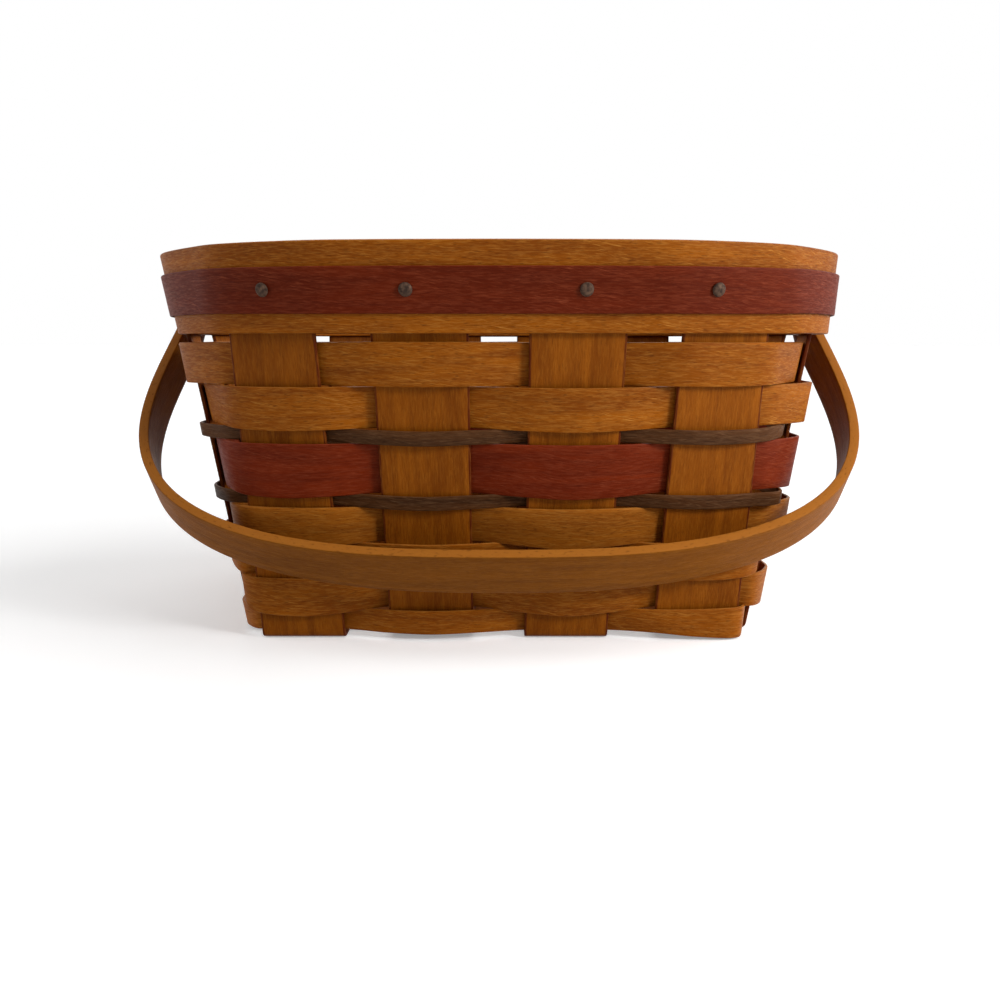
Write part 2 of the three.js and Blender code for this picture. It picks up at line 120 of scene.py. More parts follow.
# Rows of radius and height, from the top of a tack's dome to the end of its shank
TACK_OUTLINE = [
    (0.2, TACK_RISE),
    (1.1, TACK_RISE * 0.93),
    (1.65, TACK_RISE * 0.7),
    (2.0, 0.25),
    (1.9, 0.0),
    (0.7, -0.1),
    (0.7, -1.2),
]
RIVET_RISE = 1.8
RIVET_RADIUS = 4.6
RIVET_SHANK = 2.0
RIVET_SIDES = 32

# Sections: thickness, radius of the eased edges, points on each face and steps round each edge
WEAVER_SECTION = (WEAVER_THICKNESS, 0.35, 7, 3)
SPLINT_SECTION = (SPLINT_THICKNESS, 0.3, 9, 3)
OUTER_BAND_SECTION = (OUTER_BAND_THICKNESS, 0.6, 9, 5)
INNER_BAND_SECTION = (INNER_BAND_THICKNESS, 0.7, 9, 5)
TRIM_SECTION = (TRIM_THICKNESS, 0.4, 9, 5)
HANDLE_SECTION = (HANDLE_THICKNESS, 0.35, 7, 4)
# An edge's radius stays below this share of the thickness and of the width
LARGEST_ROUND = 0.49

# Steps along the strips
WEAVER_STEPS = 9
FLOOR_STEPS = 8
FOLD_STEPS = 8
CLIMB_STEPS = 60
RIM_STEPS = 14
BEND_STEPS = 240
TIP_STEPS = 9
DOME_STEPS = 8
# A round end or a dome stops at this share of its quarter turn
ROUND_END = 0.97
# Added to the knots of a spline, so that none is zero
TINY = 1e-9

# Seeds of the grain, and how far one seed shifts it along and across, in metres
WEAVER_SEED = 11
FRONT_SPLINT_SEED = 31
SIDE_SPLINT_SEED = 41
HANDLE_SEED = 54
SEED_ALONG = 3.7
SEED_ACROSS = 1.3
# Seed of the small differences between the crossings of the weave
WEAVE_SEED = 21


def node_box(node):
    """Lowest and highest corner of a frame node, in millimetres."""
    low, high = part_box(node)
    return np.array(low) / MM, np.array(high) / MM


def node_middle(node):
    low, high = node_box(node)
    return (low + high) / 2


# Walls and uprights, numbered round the basket from the left end of the front
FRONT_WALL = 0
RIGHT_WALL = 1
FRONT_PLACES = [node_middle(f"splint_front_back_{i + 1}")[0] for i in range(FRONT_COUNT)]
SIDE_PLACES = [node_middle(f"splint_side_side_{i + 1}")[1] for i in range(SIDE_COUNT)]
QUARTER_TURNS = ((1, 0), (0, 1), (-1, 0), (0, -1))


def wall_of(turn):
    """Half sizes of one wall; the walls go front, right, back, left."""
    floors = (FLOOR_HALF_DEPTH, FLOOR_HALF_WIDTH)
    rims = (FLOOR_HALF_DEPTH + FRONT_FLARE, FLOOR_HALF_WIDTH + SIDE_FLARE)
    own, other = turn % 2, 1 - turn % 2
    return {"turn": turn, "floor": floors[own], "rim": rims[own], "span": rims[other]}


WALLS = [wall_of(turn) for turn in range(WALL_COUNT)]
STAKES = [(wall, along) for wall in WALLS for along in (FRONT_PLACES, SIDE_PLACES)[wall["turn"] % 2]]
LAST_FRONT_STAKE = FRONT_COUNT - 1
FRONT_RIGHT_STAKE = FRONT_COUNT
FIRST_BACK_STAKE = FRONT_COUNT + SIDE_COUNT
FRONT_LEFT_STAKE = len(STAKES) - 1
# The side uprights next to the front corners, and the edge of each that faces the front
CORNER_STAKES = {FRONT_RIGHT_STAKE: -1, FRONT_LEFT_STAKE: 1}


def turned(turn, x, y, z):
    """A point of the front wall, turned to the wall that it belongs to."""
    cos, sin = QUARTER_TURNS[turn]
    return np.array([cos * x - sin * y, sin * x + cos * y, z])


def rim_reach(wall, along):
    """How far out the rim stands at a place along a wall, and the tilt of its outline there."""
    share = abs(along) / wall["span"]
    rest = 1 - share**RIM_SQUARENESS
    reach = wall["rim"] * rest ** (1 / RIM_SQUARENESS)
    bend = share ** (RIM_SQUARENESS - 1) * rest ** (1 / RIM_SQUARENESS - 1)
    return reach, -math.copysign(math.atan(wall["rim"] / wall["span"] * bend), along)


def stake_point(stake, z, place, offset):
    """A point on an upright: place runs from -1 at its left edge to 1 at its right, offset is outwards."""
    wall, along = stake
    reach, rim_tilt = rim_reach(wall, along)
    rise = z / BODY_HEIGHT
    out = wall["floor"] + (reach - wall["floor"]) * rise
    tilt = rim_tilt * rise
    side = place * SPLINT_WIDTH / 2
    x = along + side * math.cos(tilt) - offset * math.sin(tilt)
    y = -out - side * math.sin(tilt) - offset * math.cos(tilt)
    return turned(wall["turn"], x, y, z)


def corner_point(wall, z, offset):
    """A point on the corner that follows a wall, offset outwards."""
    diagonal = 0.5 ** (1 / RIM_SQUARENESS)
    rise = z / BODY_HEIGHT
    span_floor = WALLS[(wall["turn"] + 1) % WALL_COUNT]["floor"] - FLOOR_CORNER_CUT
    out_floor = wall["floor"] - FLOOR_CORNER_CUT
    shift = offset * math.sqrt(0.5)
    x = span_floor + (wall["span"] * diagonal - span_floor) * rise + shift
    y = out_floor + (wall["rim"] * diagonal - out_floor) * rise + shift
    return turned(wall["turn"], x, -y, z)


def corner_follows(index):
    """Whether an upright is the last of its wall."""
    return STAKES[(index + 1) % len(STAKES)][0] is not STAKES[index][0]


def spline(points, shares, closed=False):
    """Points of a smooth curve through control points; a share counts whole spans from the first one."""
    points = np.asarray(points, float)
    count = len(points)
    if closed:
        ring = np.concatenate([points[-1:], points, points[:2]])
    else:
        first = 2 * points[0] - points[1]
        last = 2 * points[-1] - points[-2]
        ring = np.concatenate([first[None], points, last[None]])
    knots = np.sqrt(np.linalg.norm(np.diff(ring, axis=0), axis=1)) + TINY
    spans = count if closed else count - 1
    span = np.clip(np.floor(shares).astype(int), 0, spans - 1)
    t = (np.asarray(shares) - span)[:, None]
    before, start, end, after = (ring[span + i] for i in range(4))
    a, b, c = (knots[span + i][:, None] for i in range(3))
    rise = (end - start) / b
    start_slope = b * ((start - before) / a * b + rise * a) / (a + b)
    end_slope = b * (rise * c + (after - end) / c * b) / (b + c)
    t2, t3 = t * t, t * t * t
    return (
        (2 * t3 - 3 * t2 + 1) * start
        + (t3 - 2 * t2 + t) * start_slope
        + (3 * t2 - 2 * t3) * end
        + (t3 - t2) * end_slope
    )


def unit(vectors):
    return vectors / np.linalg.norm(vectors, axis=-1, keepdims=True)


def strip_profile(width, thickness, radius, flats, rounds):
    """Outline of a strip's section with eased corners: rows of (across, through) from its middle."""
    radius = min(radius, LARGEST_ROUND * thickness, LARGEST_ROUND * width)
    half_width, half_thickness = width / 2, thickness / 2
    turns = np.linspace(0, math.pi / 2, rounds + 1)
    corners = [(1, 1, 0), (-1, 1, 1), (-1, -1, 2), (1, -1, 3)]
    outline = []
    for side, face, quarter in corners:
        centre = np.array([side * (half_width - radius), face * (half_thickness - radius)])
        for turn in turns + quarter * math.pi / 2:
            outline.append(centre + radius * np.array([math.cos(turn), math.sin(turn)]))
        if quarter in (0, 2):
            run = -side * np.linspace(-1, 1, flats + 2)[1:-1] * (half_width - radius)
            outline.extend(np.array([across, face * half_thickness]) for across in run)
    return np.array(outline)


def mesh_object(name, points, faces, slot_name, body, attributes):
    """A mesh object in the shared frame that rides on a body, with vector attributes for its finish."""
    mesh = bpy.data.meshes.new(name)
    mesh.from_pydata((points * MM).tolist(), [], faces)
    for key, values in attributes.items():
        layer = mesh.attributes.new(key, "FLOAT_VECTOR", "POINT")
        layer.data.foreach_set("vector", np.asarray(values, np.float32).ravel())
    mesh.validate()
    mesh.shade_smooth()
    obj = bpy.data.objects.new(name, mesh)
    scene.collection.objects.link(obj)
    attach(obj, body)
    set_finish(obj, slot_name)
    return obj


def swept_strip(name, middle, across, outward, profile, slot_name, body, seed, tone=0.0):
    """A strip from a run of section frames: middle points, and vectors that the profile
    is measured in, across and outward.

    The grain attribute holds lengths along, across and through the strip, shifted by the seed.
    The edge attribute holds the place across the section (-1 to 1) and the strip's tone, which is
    below 0 for a darker strip and above 0 for a paler one.
    """
    sections, corners = len(middle), len(profile)
    points = (
        middle[:, None]
        + across[:, None] * profile[None, :, 0, None]
        + outward[:, None] * profile[None, :, 1, None]
    ).reshape(-1, 3)
    faces = []
    for s in range(sections - 1):
        for c in range(corners):
            a, b = s * corners + c, s * corners + (c + 1) % corners
            faces.append((a, b, b + corners, a + corners))
    faces.append(tuple(range(corners - 1, -1, -1)))
    faces.append(tuple(range((sections - 1) * corners, sections * corners)))
    if np.linalg.det([across[0], outward[0], unit(middle[1] - middle[0])]) < 0:
        faces = [face[::-1] for face in faces]
    lengths = np.concatenate([[0], np.cumsum(np.linalg.norm(np.diff(middle, axis=0), axis=1))])
    grain = np.zeros((sections, corners, 3))
    grain[..., 0] = lengths[:, None] * MM + seed * SEED_ALONG
    grain[..., 1] = profile[None, :, 0] * MM + seed * SEED_ACROSS
    grain[..., 2] = profile[None, :, 1] * MM
    edge = np.zeros((sections, corners, 3))
    edge[..., 0] = profile[None, :, 0] / np.abs(profile[:, 0]).max()
    edge[..., 1] = tone
    attributes = {"grain": grain.reshape(-1, 3), "edge": edge.reshape(-1, 3)}
    return mesh_object(name, points, faces, slot_name, body, attributes)


def ruled_strip(name, low, high, section, slot_name, body, seed, tone=0.0, shift=0.0):
    """A strip that stands between a low and a high line of points, moved outwards by the shift."""
    middle = (low + high) / 2
    width = float(np.mean(np.linalg.norm(high - low, axis=1)))
    across = (high - low) / width
    along = np.gradient(middle, axis=0)
    outward = unit(np.cross(along, across))
    middle = middle + outward * shift
    profile = strip_profile(width, *section)
    return swept_strip(name, middle, across, outward, profile, slot_name, body, seed, tone)


# Weavers: a row is outside an upright where the sum of their numbers, counted from 0, is odd.
# Columns: node, slot, sag of the lower and of the upper edge over an upright, how far the row stands
# off the front corner that it wraps, and its tone.
WEAVER_ROWS = [
    ("weaver_row_1_floor", "natural_wood", 0.5, 0.3, 0.0, 0.0),
    ("weaver_row_2", "natural_wood", 2.2, 0.5, 1.5, -0.1),
    ("weaver_row_3", "natural_wood", 1.6, 0.4, 0.3, -0.1),
    ("weaver_row_4", "natural_wood", 2.3, 0.4, 3.6, 0.08),
    ("weaver_row_5_brown", "brown_wood", 0.9, 0.7, 0.6, 0.0),
    ("weaver_row_6_red", "red_wood", 1.6, 0.3, 2.0, -0.12),
    ("weaver_row_7_brown", "brown_wood", 0.9, 0.7, 0.6, 0.05),
    ("weaver_row_8", "natural_wood", 1.0, 0.2, 2.0, -0.04),
    ("weaver_row_9", "natural_wood", 0.5, 0.1, 1.3, -0.08),
]
LOWEST_ROW = 0
# At the edges of an upright a row has this share of its sag
SAG_AT_EDGE = 0.55
# Each crossing lies up to this much higher or lower than the row
ROW_TREMBLE = 0.2
# Range of a row's bow over the middle of an upright, where it is outside and inside
OUTSIDE_BULGE = (0.9, 1.4)
INSIDE_BULGE = (-0.5, -0.3)
# The lower edge stands out this many times as far as the upper one
LOWER_EDGE_BULGE = 1.2
# Inside an upright a weaver stands this much further in than the solids need
INSIDE_DEPTH = 0.5
# The lowest row is pulled in tight round the corners
LOWEST_ROW_TUCK = -2.5
# Rows that stand proud where they go round the front right corner, and how far
PROUD_CORNERS = {"weaver_row_5_brown": 5.0, "weaver_row_7_brown": 1.0}
# The third row climbs a little round the front left corner
CLIMBING_ROW = 2
CLIMBING_RISE = 3.0
# The lowest row widens to the floor towards the front right corner: its drop below and its rise above
WIDE_END_DROP = 2.0
WIDE_END_RISE = 0.8


def weaver_points(row_index, rng):
    """Control points of a row's lower and upper edge: three on each upright and one on each corner."""
    node, _, sag, dip, stand_off, _ = WEAVER_ROWS[row_index]
    low, high = node_box(node)
    z_low, z_high = low[2] + STRIP_LEAN, high[2] - STRIP_LEAN
    offset = (SPLINT_THICKNESS + WEAVER_THICKNESS) / 2 + WEAVE_GAP
    corner_offset = LOWEST_ROW_TUCK if row_index == LOWEST_ROW else 0
    first = FIRST_BACK_STAKE + 1 + row_index % 2
    low_points, high_points = [], []
    count = len(STAKES)
    for step in range(count + 1):
        index = (first + step) % count
        stake = STAKES[index]
        wall = stake[0]
        outside = (index + row_index) % 2 == 1
        off = offset if outside else -offset
        if step == count:
            off -= WEAVER_THICKNESS + WEAVE_GAP
        climbs = (row_index, index) == (CLIMBING_ROW, FRONT_LEFT_STAKE)
        widens = (row_index, index) == (LOWEST_ROW, LAST_FRONT_STAKE)
        lift = rng.uniform(-ROW_TREMBLE, ROW_TREMBLE) + (CLIMBING_RISE if climbs else 0)
        bulge = rng.uniform(*(OUTSIDE_BULGE if outside else INSIDE_BULGE))
        for place in (-1, 0, 1):
            arc = (1 if place == 0 else SAG_AT_EDGE) if outside else 0
            extra = 0 if outside else -INSIDE_DEPTH
            if place == 0 and 0 < step < count:
                extra += bulge
            if outside and index in CORNER_STAKES:
                extra += stand_off * (1 + place * CORNER_STAKES[index]) / 2
            wide = (1 + place) / 2 if widens else 0
            z_under = z_low - sag * arc + lift - wide * WIDE_END_DROP
            z_over = z_high - dip * arc + lift + wide * WIDE_END_RISE
            low_points.append(stake_point(stake, z_under, place, off + extra * LOWER_EDGE_BULGE))
            high_points.append(stake_point(stake, z_over, place, off + extra))
        if corner_follows(index) and step < count:
            proud = PROUD_CORNERS.get(node, 0) if wall["turn"] == FRONT_WALL else 0
            z_under = z_low - (WIDE_END_DROP if widens else 0)
            z_over = z_high + (WIDE_END_RISE if widens else 0)
            low_points.append(corner_point(wall, z_under, corner_offset + proud))
            high_points.append(corner_point(wall, z_over, corner_offset + proud))
    return low_points, high_points


def weaver(row_index, rng):
    node, slot_name, _, _, _, tone = WEAVER_ROWS[row_index]
    low_points, high_points = weaver_points(row_index, rng)
    spans = len(low_points) - 1
    shares = np.linspace(0, spans, spans * WEAVER_STEPS + 1)
    low_line, high_line = spline(low_points, shares), spline(high_points, shares)
    seed = WEAVER_SEED + row_index
    name = "woven_" + node
    obj = ruled_strip(name, low_line, high_line, WEAVER_SECTION, slot_name, "basket", seed, tone)
    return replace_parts(obj, node)


# Uprights
def splint_line(wall_floor, lean, crossings, starts_low):
    """Middle line of an upright in its own plane, from rim to rim: (across the floor, height)."""
    flat = SPLINT_WIDTH / 2 + SEAT_GAP
    floor = []
    for i, place in enumerate(crossings):
        height = LOW_SEAT if (i % 2 == 0) == starts_low else HIGH_SEAT
        floor.append((place - flat, height))
        floor.append((place + flat, height))
    eased = []
    for (x0, z0), (x1, z1) in zip(floor, floor[1:]):
        for t in np.linspace(0, 1, FLOOR_STEPS + 1)[:-1]:
            eased.append((x0 + (x1 - x0) * t, z0 + (z1 - z0) * (1 - math.cos(math.pi * t)) / 2))
    eased.append(floor[-1])

    def climb(last):
        top = last[1] + FOLD_RISE
        start = np.array([max(abs(last[0]) + SEAT_GAP, wall_floor - FOLD_RUN), last[1]])
        knee = np.array([wall_floor + lean * last[1], last[1]])
        end = np.array([wall_floor + lean * top, top])
        turns = np.linspace(0, 1, FOLD_STEPS + 1)
        fold = [(1 - t) ** 2 * start + 2 * t * (1 - t) * knee + t * t * end for t in turns]
        heights = np.linspace(top, BODY_HEIGHT - SPLINT_TOP_DROP, CLIMB_STEPS)[1:]
        return fold + [np.array([wall_floor + lean * z, z]) for z in heights]

    start = [np.array([-p[0], p[1]]) for p in climb(eased[0])][::-1]
    return np.array(start + [np.array(p) for p in eased] + climb(eased[-1]))


def upright(node, wall, along, crossings, starts_low, seed):
    reach, rim_tilt = rim_reach(wall, along)
    lean = (reach - wall["floor"]) / BODY_HEIGHT
    line = splint_line(wall["floor"], lean, crossings, starts_low)
    run = unit(np.gradient(line, axis=0))
    climbs = (line[:, 1] > HIGH_SEAT) & (np.abs(line[:, 0]) > wall["floor"] - FOLD_RUN)
    tilt = np.where(climbs, rim_tilt * np.sign(line[:, 0]) * line[:, 1] / BODY_HEIGHT, 0)
    nothing = np.zeros(len(line))
    across = np.stack([np.cos(tilt), np.sin(tilt), nothing], -1)
    ahead = np.stack([-np.sin(tilt) * run[:, 0], np.cos(tilt) * run[:, 0], run[:, 1]], -1)
    outward = unit(np.cross(across, ahead))
    middle = np.stack([np.full(len(line), along), line[:, 0], line[:, 1]], -1)
    if wall["turn"] == RIGHT_WALL:
        middle, across, outward = (v[:, [1, 0, 2]] * [-1, 1, 1] for v in (middle, across, outward))
    profile = strip_profile(SPLINT_WIDTH, *SPLINT_SECTION)
    obj = swept_strip("fine_" + node, middle, across, outward, profile, "splint_wood", "basket", seed)
    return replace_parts(obj, node)


# Rim.
# Columns: node, offset of its line from the uprights, section, slot, upright that its joint follows,
# seed, tone, and shift outwards from the line.
RIM_PIECES = [
    ("outer_band", OUTER_OFFSET, OUTER_BAND_SECTION, "natural_wood", 8, 51, -0.06, 0.0),
    ("inner_band", -INNER_OFFSET, INNER_BAND_SECTION, "natural_wood", 9, 52, 0.0, 0.0),
    ("trim_strip", OUTER_OFFSET, TRIM_SECTION, "red_wood", 7, 53, -0.48, TRIM_SHIFT),
]


def rim_lines(z_low, z_high, offset, joint_stake):
    """Low and high line of a closed ring against the uprights, with a narrow joint after one of them."""
    outside = offset > 0
    places = (-1, 1) if outside else (0,)
    front_edge = (FRONT_RIGHT_STAKE, CORNER_STAKES[FRONT_RIGHT_STAKE])
    lines = []
    for z in (z_low, z_high):
        points = []
        stand_off = CORNER_STAND_OFF * (BODY_HEIGHT - z) / STAND_OFF_HEIGHT if outside else 0
        for index, stake in enumerate(STAKES):
            for place in places:
                extra = stand_off if (index, place) == front_edge else 0
                points.append(stake_point(stake, z, place, offset + extra))
            if corner_follows(index):
                extra = stand_off if stake[0]["turn"] == FRONT_WALL else 0
                points.append(corner_point(stake[0], z, offset + extra))
        count = len(points)
        last_before_joint = len(places) * (joint_stake + 1) + STAKES[joint_stake][0]["turn"] - 1
        start = last_before_joint + JOINT_PLACE
        length = np.linalg.norm(np.diff(np.array(points + points[:1]), axis=0), axis=1).sum()
        gap = BUTT_GAP / length * count
        shares = (start + np.linspace(gap / 2, count - gap / 2, count * RIM_STEPS + 1)) % count
        lines.append(spline(points, shares, closed=True))
    return lines


def ring_piece(node, offset, section, slot_name, joint_stake, seed, tone, shift):
    low, high = node_box(node)
    low_line, high_line = rim_lines(low[2] + STRIP_LEAN, high[2] - STRIP_LEAN, offset, joint_stake)
    name = "fine_" + node
    obj = ruled_strip(name, low_line, high_line, section, slot_name, "basket", seed, tone, shift)
    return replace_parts(obj, node)


# Handle
PIVOT = np.array(frame["joints"][0]["pos_m"]) / MM
ARM_IN = node_box("washer_right")[1][0] + SEAT_GAP


def handle_frames():
    """Section frames of the bent strip in its own plane: middle, normal and share of the grip's width."""
    half_span = ARM_IN + HANDLE_THICKNESS / 2
    reach = HANDLE_REACH - HANDLE_THICKNESS / 2
    turn = np.linspace(0, math.pi, BEND_STEPS + 1)
    power = 2 / HANDLE_SQUARENESS
    cos, sin = np.cos(turn), np.abs(np.sin(turn))
    x = half_span * np.sign(cos) * np.abs(cos) ** power + HANDLE_SPREAD * np.sin(2 * turn)
    r = HANDLE_STRAIGHT + (reach - HANDLE_STRAIGHT) * sin**power
    bend = np.stack([x, r], -1)
    run = unit(np.gradient(bend, axis=0))
    normal = np.stack([run[:, 1], -run[:, 0]], -1)
    normal[0], normal[-1] = (1, 0), (-1, 0)
    ends = np.linspace(ROUND_END, 0, TIP_STEPS) * math.pi / 2
    tip = np.stack([np.full(TIP_STEPS, half_span), -HANDLE_ARM_WIDTH / 2 * np.sin(ends)], -1)
    tip_normal = np.tile([1.0, 0.0], (TIP_STEPS, 1))
    flip = np.array([-1, 1])
    middle = np.concatenate([tip, bend, (tip * flip)[::-1]])
    normals = np.concatenate([tip_normal, normal, (tip_normal * flip)[::-1]])
    inward = (1 - (x / half_span) ** 2) ** 2
    bend_width = HANDLE_ARM_WIDTH + (HANDLE_GRIP_WIDTH - HANDLE_ARM_WIDTH) * inward
    tip_width = HANDLE_ARM_WIDTH * np.cos(ends)
    width = np.concatenate([tip_width, bend_width, tip_width[::-1]]) / HANDLE_GRIP_WIDTH
    return middle, normals, width


def rest_angle():
    """The handle's angle below level at rest, from the lowest point of its node."""
    drop = PIVOT[2] - node_box("handle")[0][2]
    half = HANDLE_GRIP_WIDTH / 2
    return math.asin(drop / math.hypot(HANDLE_REACH, half)) - math.atan2(half, HANDLE_REACH)


def handle():
    middle, normals, width = handle_frames()
    angle = rest_angle()
    ahead = np.array([0, -math.cos(angle), -math.sin(angle)])
    edge_way = np.array([0, -math.sin(angle), math.cos(angle)])
    sideways = np.array([1.0, 0, 0])

    def placed(flat):
        return flat[:, :1] * sideways + flat[:, 1:] * ahead

    obj = swept_strip(
        "bent_handle",
        placed(middle) + PIVOT,
        width[:, None] * edge_way,
        placed(normals),
        strip_profile(HANDLE_GRIP_WIDTH, *HANDLE_SECTION),
        "handle_wood",
        "swing_handle",
        HANDLE_SEED,
    )
    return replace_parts(obj, "handle")


# Tacks and rivets
def turned_piece(name, node, outline, centre, axis, slot_name, sides):
    """A turned metal piece: outline rows are (radius, height) along the axis from the centre."""
    axis = unit(np.asarray(axis, float))
    side = unit(np.cross(axis, [0, 0, 1.0]))
    other = np.cross(axis, side)
    turns = np.linspace(0, 2 * math.pi, sides, endpoint=False)
    points, faces = [], []
    for radius, height in outline:
        for turn in turns:
            spoke = side * math.cos(turn) + other * math.sin(turn)
            points.append(centre + axis * height + spoke * radius)
    for row in range(len(outline) - 1):
        for i in range(sides):
            a, b = row * sides + i, row * sides + (i + 1) % sides
            faces.append((a, a + sides, b + sides, b))
    faces.append(tuple(range(sides)))
    faces.append(tuple(range(len(outline) * sides - 1, (len(outline) - 1) * sides - 1, -1)))
    obj = mesh_object(name, np.array(points), faces, slot_name, "basket", {})
    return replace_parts(obj, node)


def tack(node):
    """A domed tack on its solid's axis, which is the way that the solid's corners spread least."""
    corners = np.array([v.co for v in frame["nodes"][node].data.vertices]) / MM
    foot = corners.mean(0)
    axis = np.linalg.svd(corners - foot)[2][2]
    out = node_middle(node) * [1, 1, 0]
    axis = axis if axis @ out > 0 else -axis
    top = (corners @ axis).max()
    foot = foot + axis * (top - TACK_RISE - foot @ axis)
    return turned_piece("domed_" + node, node, TACK_OUTLINE, foot, axis, "tack_metal", TACK_SIDES)


def rivet(side, sign):
    """A rivet with a dome at each end of its shank."""
    node = f"rivet_{side}"
    low, high = node_box(node)
    inner_end, outer_end = sorted((abs(low[0]), abs(high[0])))
    inner, outer = inner_end + RIVET_RISE, outer_end - RIVET_RISE
    turns = np.linspace(0, ROUND_END, DOME_STEPS) * math.pi / 2
    dome = [(RIVET_RADIUS * math.cos(t), RIVET_RISE * math.sin(t)) for t in turns]
    outline = [(r, outer + h) for r, h in dome[::-1]]
    outline += [(RIVET_SHANK, outer), (RIVET_SHANK, inner)]
    outline += [(r, inner - h) for r, h in dome]
    hub = PIVOT * [0, 1, 1]
    return turned_piece("domed_" + node, node, outline, hub, [sign, 0, 0], "rivet_metal", RIVET_SIDES)


# Finishes: colours are written as 0 to 255, on the usual curve of a screen
COLOUR_STEPS = 255
CURVE_FOOT = 0.04045
CURVE_FOOT_SLOPE = 12.92
CURVE_SHIFT = 0.055
CURVE_POWER = 2.4

# Wood: the colours of its layers (its two edge colours are painted shade and painted highlight), where the
# painted light of the narrow edges starts (as a share of the half width), its roughness, and how strong the
# dark flecks and the pale scuffs are, which are partly wear and partly painted glints
WOOD_COLOURS = ("main", "dark", "pale", "pore", "low_edge_painted_light", "high_edge_painted_light")
WOODS = {
    "natural_wood": {
        "main": (150, 81, 8),
        "dark": (120, 59, 4),
        "pale": (198, 136, 58),
        "pore": (72, 33, 3),
        # Painted shade on the lower edge and painted highlight on the upper edge
        "low_edge_painted_light": (70, 24, 5),
        "high_edge_painted_light": (160, 96, 34),
        "edge_start": 0.985,
        "roughness": 0.5,
        "fleck_share": 0.5,
        "scuff_and_glint_share": 0.6,
    },
    "splint_wood": {
        "main": (140, 75, 8),
        "dark": (112, 55, 3),
        "pale": (170, 104, 30),
        "pore": (76, 36, 2),
        # Painted dark red shade on both edges, for the shadowed gaps beside the uprights
        "low_edge_painted_light": (70, 15, 4),
        "high_edge_painted_light": (70, 15, 4),
        "edge_start": 0.946,
        "roughness": 0.54,
        "fleck_share": 0.3,
        "scuff_and_glint_share": 0.3,
    },
    "red_wood": {
        "main": (116, 36, 4),
        "dark": (96, 27, 3),
        "pale": (148, 72, 44),
        "pore": (52, 12, 2),
        # Painted shade on the lower edge and painted highlight on the upper edge
        "low_edge_painted_light": (58, 14, 5),
        "high_edge_painted_light": (136, 54, 30),
        "edge_start": 0.985,
        "roughness": 0.5,
        "fleck_share": 0.3,
        "scuff_and_glint_share": 0.65,
    },
    "brown_wood": {
        "main": (82, 46, 18),
        "dark": (54, 29, 10),
        "pale": (124, 90, 62),
        "pore": (30, 15, 5),
        # Painted shade on the lower edge and painted highlight on the upper edge
        "low_edge_painted_light": (40, 18, 7),
        "high_edge_painted_light": (104, 70, 44),
        "edge_start": 0.985,
        "roughness": 0.5,
        "fleck_share": 0.5,
        "scuff_and_glint_share": 0.6,
    },
    "handle_wood": {
        "main": (133, 76, 8),
        "dark": (111, 61, 5),
        "pale": (164, 104, 34),
        "pore": (68, 32, 4),
        # Painted highlight on both narrow edges
        "low_edge_painted_light": (156, 94, 32),
        "high_edge_painted_light": (160, 97, 34),
        "edge_start": 0.985,
        "roughness": 0.5,
        "fleck_share": 0.4,
        "scuff_and_glint_share": 0.3,
    },
}
# Layers of the wood's noise: how often each changes per metre along, across and through the strip,
# its detail and its distortion
FIGURE = ((18.0, 190.0, 40.0), 4.0, 0.9)
STAIN = ((22.0, 60.0, 20.0), 2.0, 0.0)
FIBRE = ((260.0, 2400.0, 900.0), 3.0, 0.4)
FLECKS = ((430.0, 3300.0, 1200.0), 1.5, 0.0)
# Pale scuffs: partly wear and partly painted glints along the grain
SCUFFS_AND_GLINTS = ((190.0, 3200.0, 1200.0), 3.0, 0.6)
PATCHES = ((34.0, 130.0, 60.0), 2.0, 0.0)
NOISE_ROUGHNESS = 0.6
# The range of its noise over which each layer comes in
FIGURE_RANGE = (0.36, 0.64)
STAIN_RANGE = (0.34, 0.6)
FIBRE_RANGE = (0.45, 0.75)
FLECK_RANGE = (0.58, 0.7)
SCUFF_AND_GLINT_RANGE = (0.57, 0.74)
PATCH_RANGE = (0.42, 0.62)
GLOSS_RANGE = (0.3, 0.7)
# How strong the layers are that all woods share
STAIN_SHARE = 0.5
FIBRE_SHARE = 0.32
# How strong the painted shade and painted highlight on the narrow edges are
EDGE_PAINTED_LIGHT_SHARE = 0.85
# The pale scuffs, which are partly wear and partly painted glints, are slanted against the grain, in
# radians, and keep this share outside their patches
SCUFF_AND_GLINT_SLANT = 0.2
LEAST_PATCH = 0.2
# The painted shade and painted highlight of the narrow edges fade in over this share of the half width
EDGE_FADE = 0.015
# How much the fibre roughens and smooths the gloss, and how strong its relief is
WOOD_ROUGHER = 0.08
WOOD_SMOOTHER = 0.06
WOOD_BUMP = 0.35
WOOD_SPECULAR = 0.06
# Depth of the relief of wood and metal, in metres
BUMP_DISTANCE = 0.0002

# Metal: main colour, dark colour and roughness
METALS = {
    "tack_metal": ((88, 64, 48), (50, 34, 25), 0.75),
    "rivet_metal": ((150, 120, 70), (96, 72, 40), 0.4),
}
BLOTCH_SCALE = 900.0
BLOTCH_DETAIL = 4.0
BLOTCH_RANGE = (0.35, 0.65)
METAL_ROUGHER = 0.12
METAL_SMOOTHER = 0.08
METAL_BUMP = 0.4
METALLIC = 0.6

# Numbers of a mix node's sockets for colours
MIX_FACTOR = 0
MIX_FIRST = 6
MIX_SECOND = 7
MIX_RESULT = 2


def linear(red, green, blue):
    """A written colour as the shader's linear values."""

    def one(value):
        share = value / COLOUR_STEPS
        if share <= CURVE_FOOT:
            return share / CURVE_FOOT_SLOPE
        return ((share + CURVE_SHIFT) / (1 + CURVE_SHIFT)) ** CURVE_POWER

    return (one(red), one(green), one(blue), 1.0)


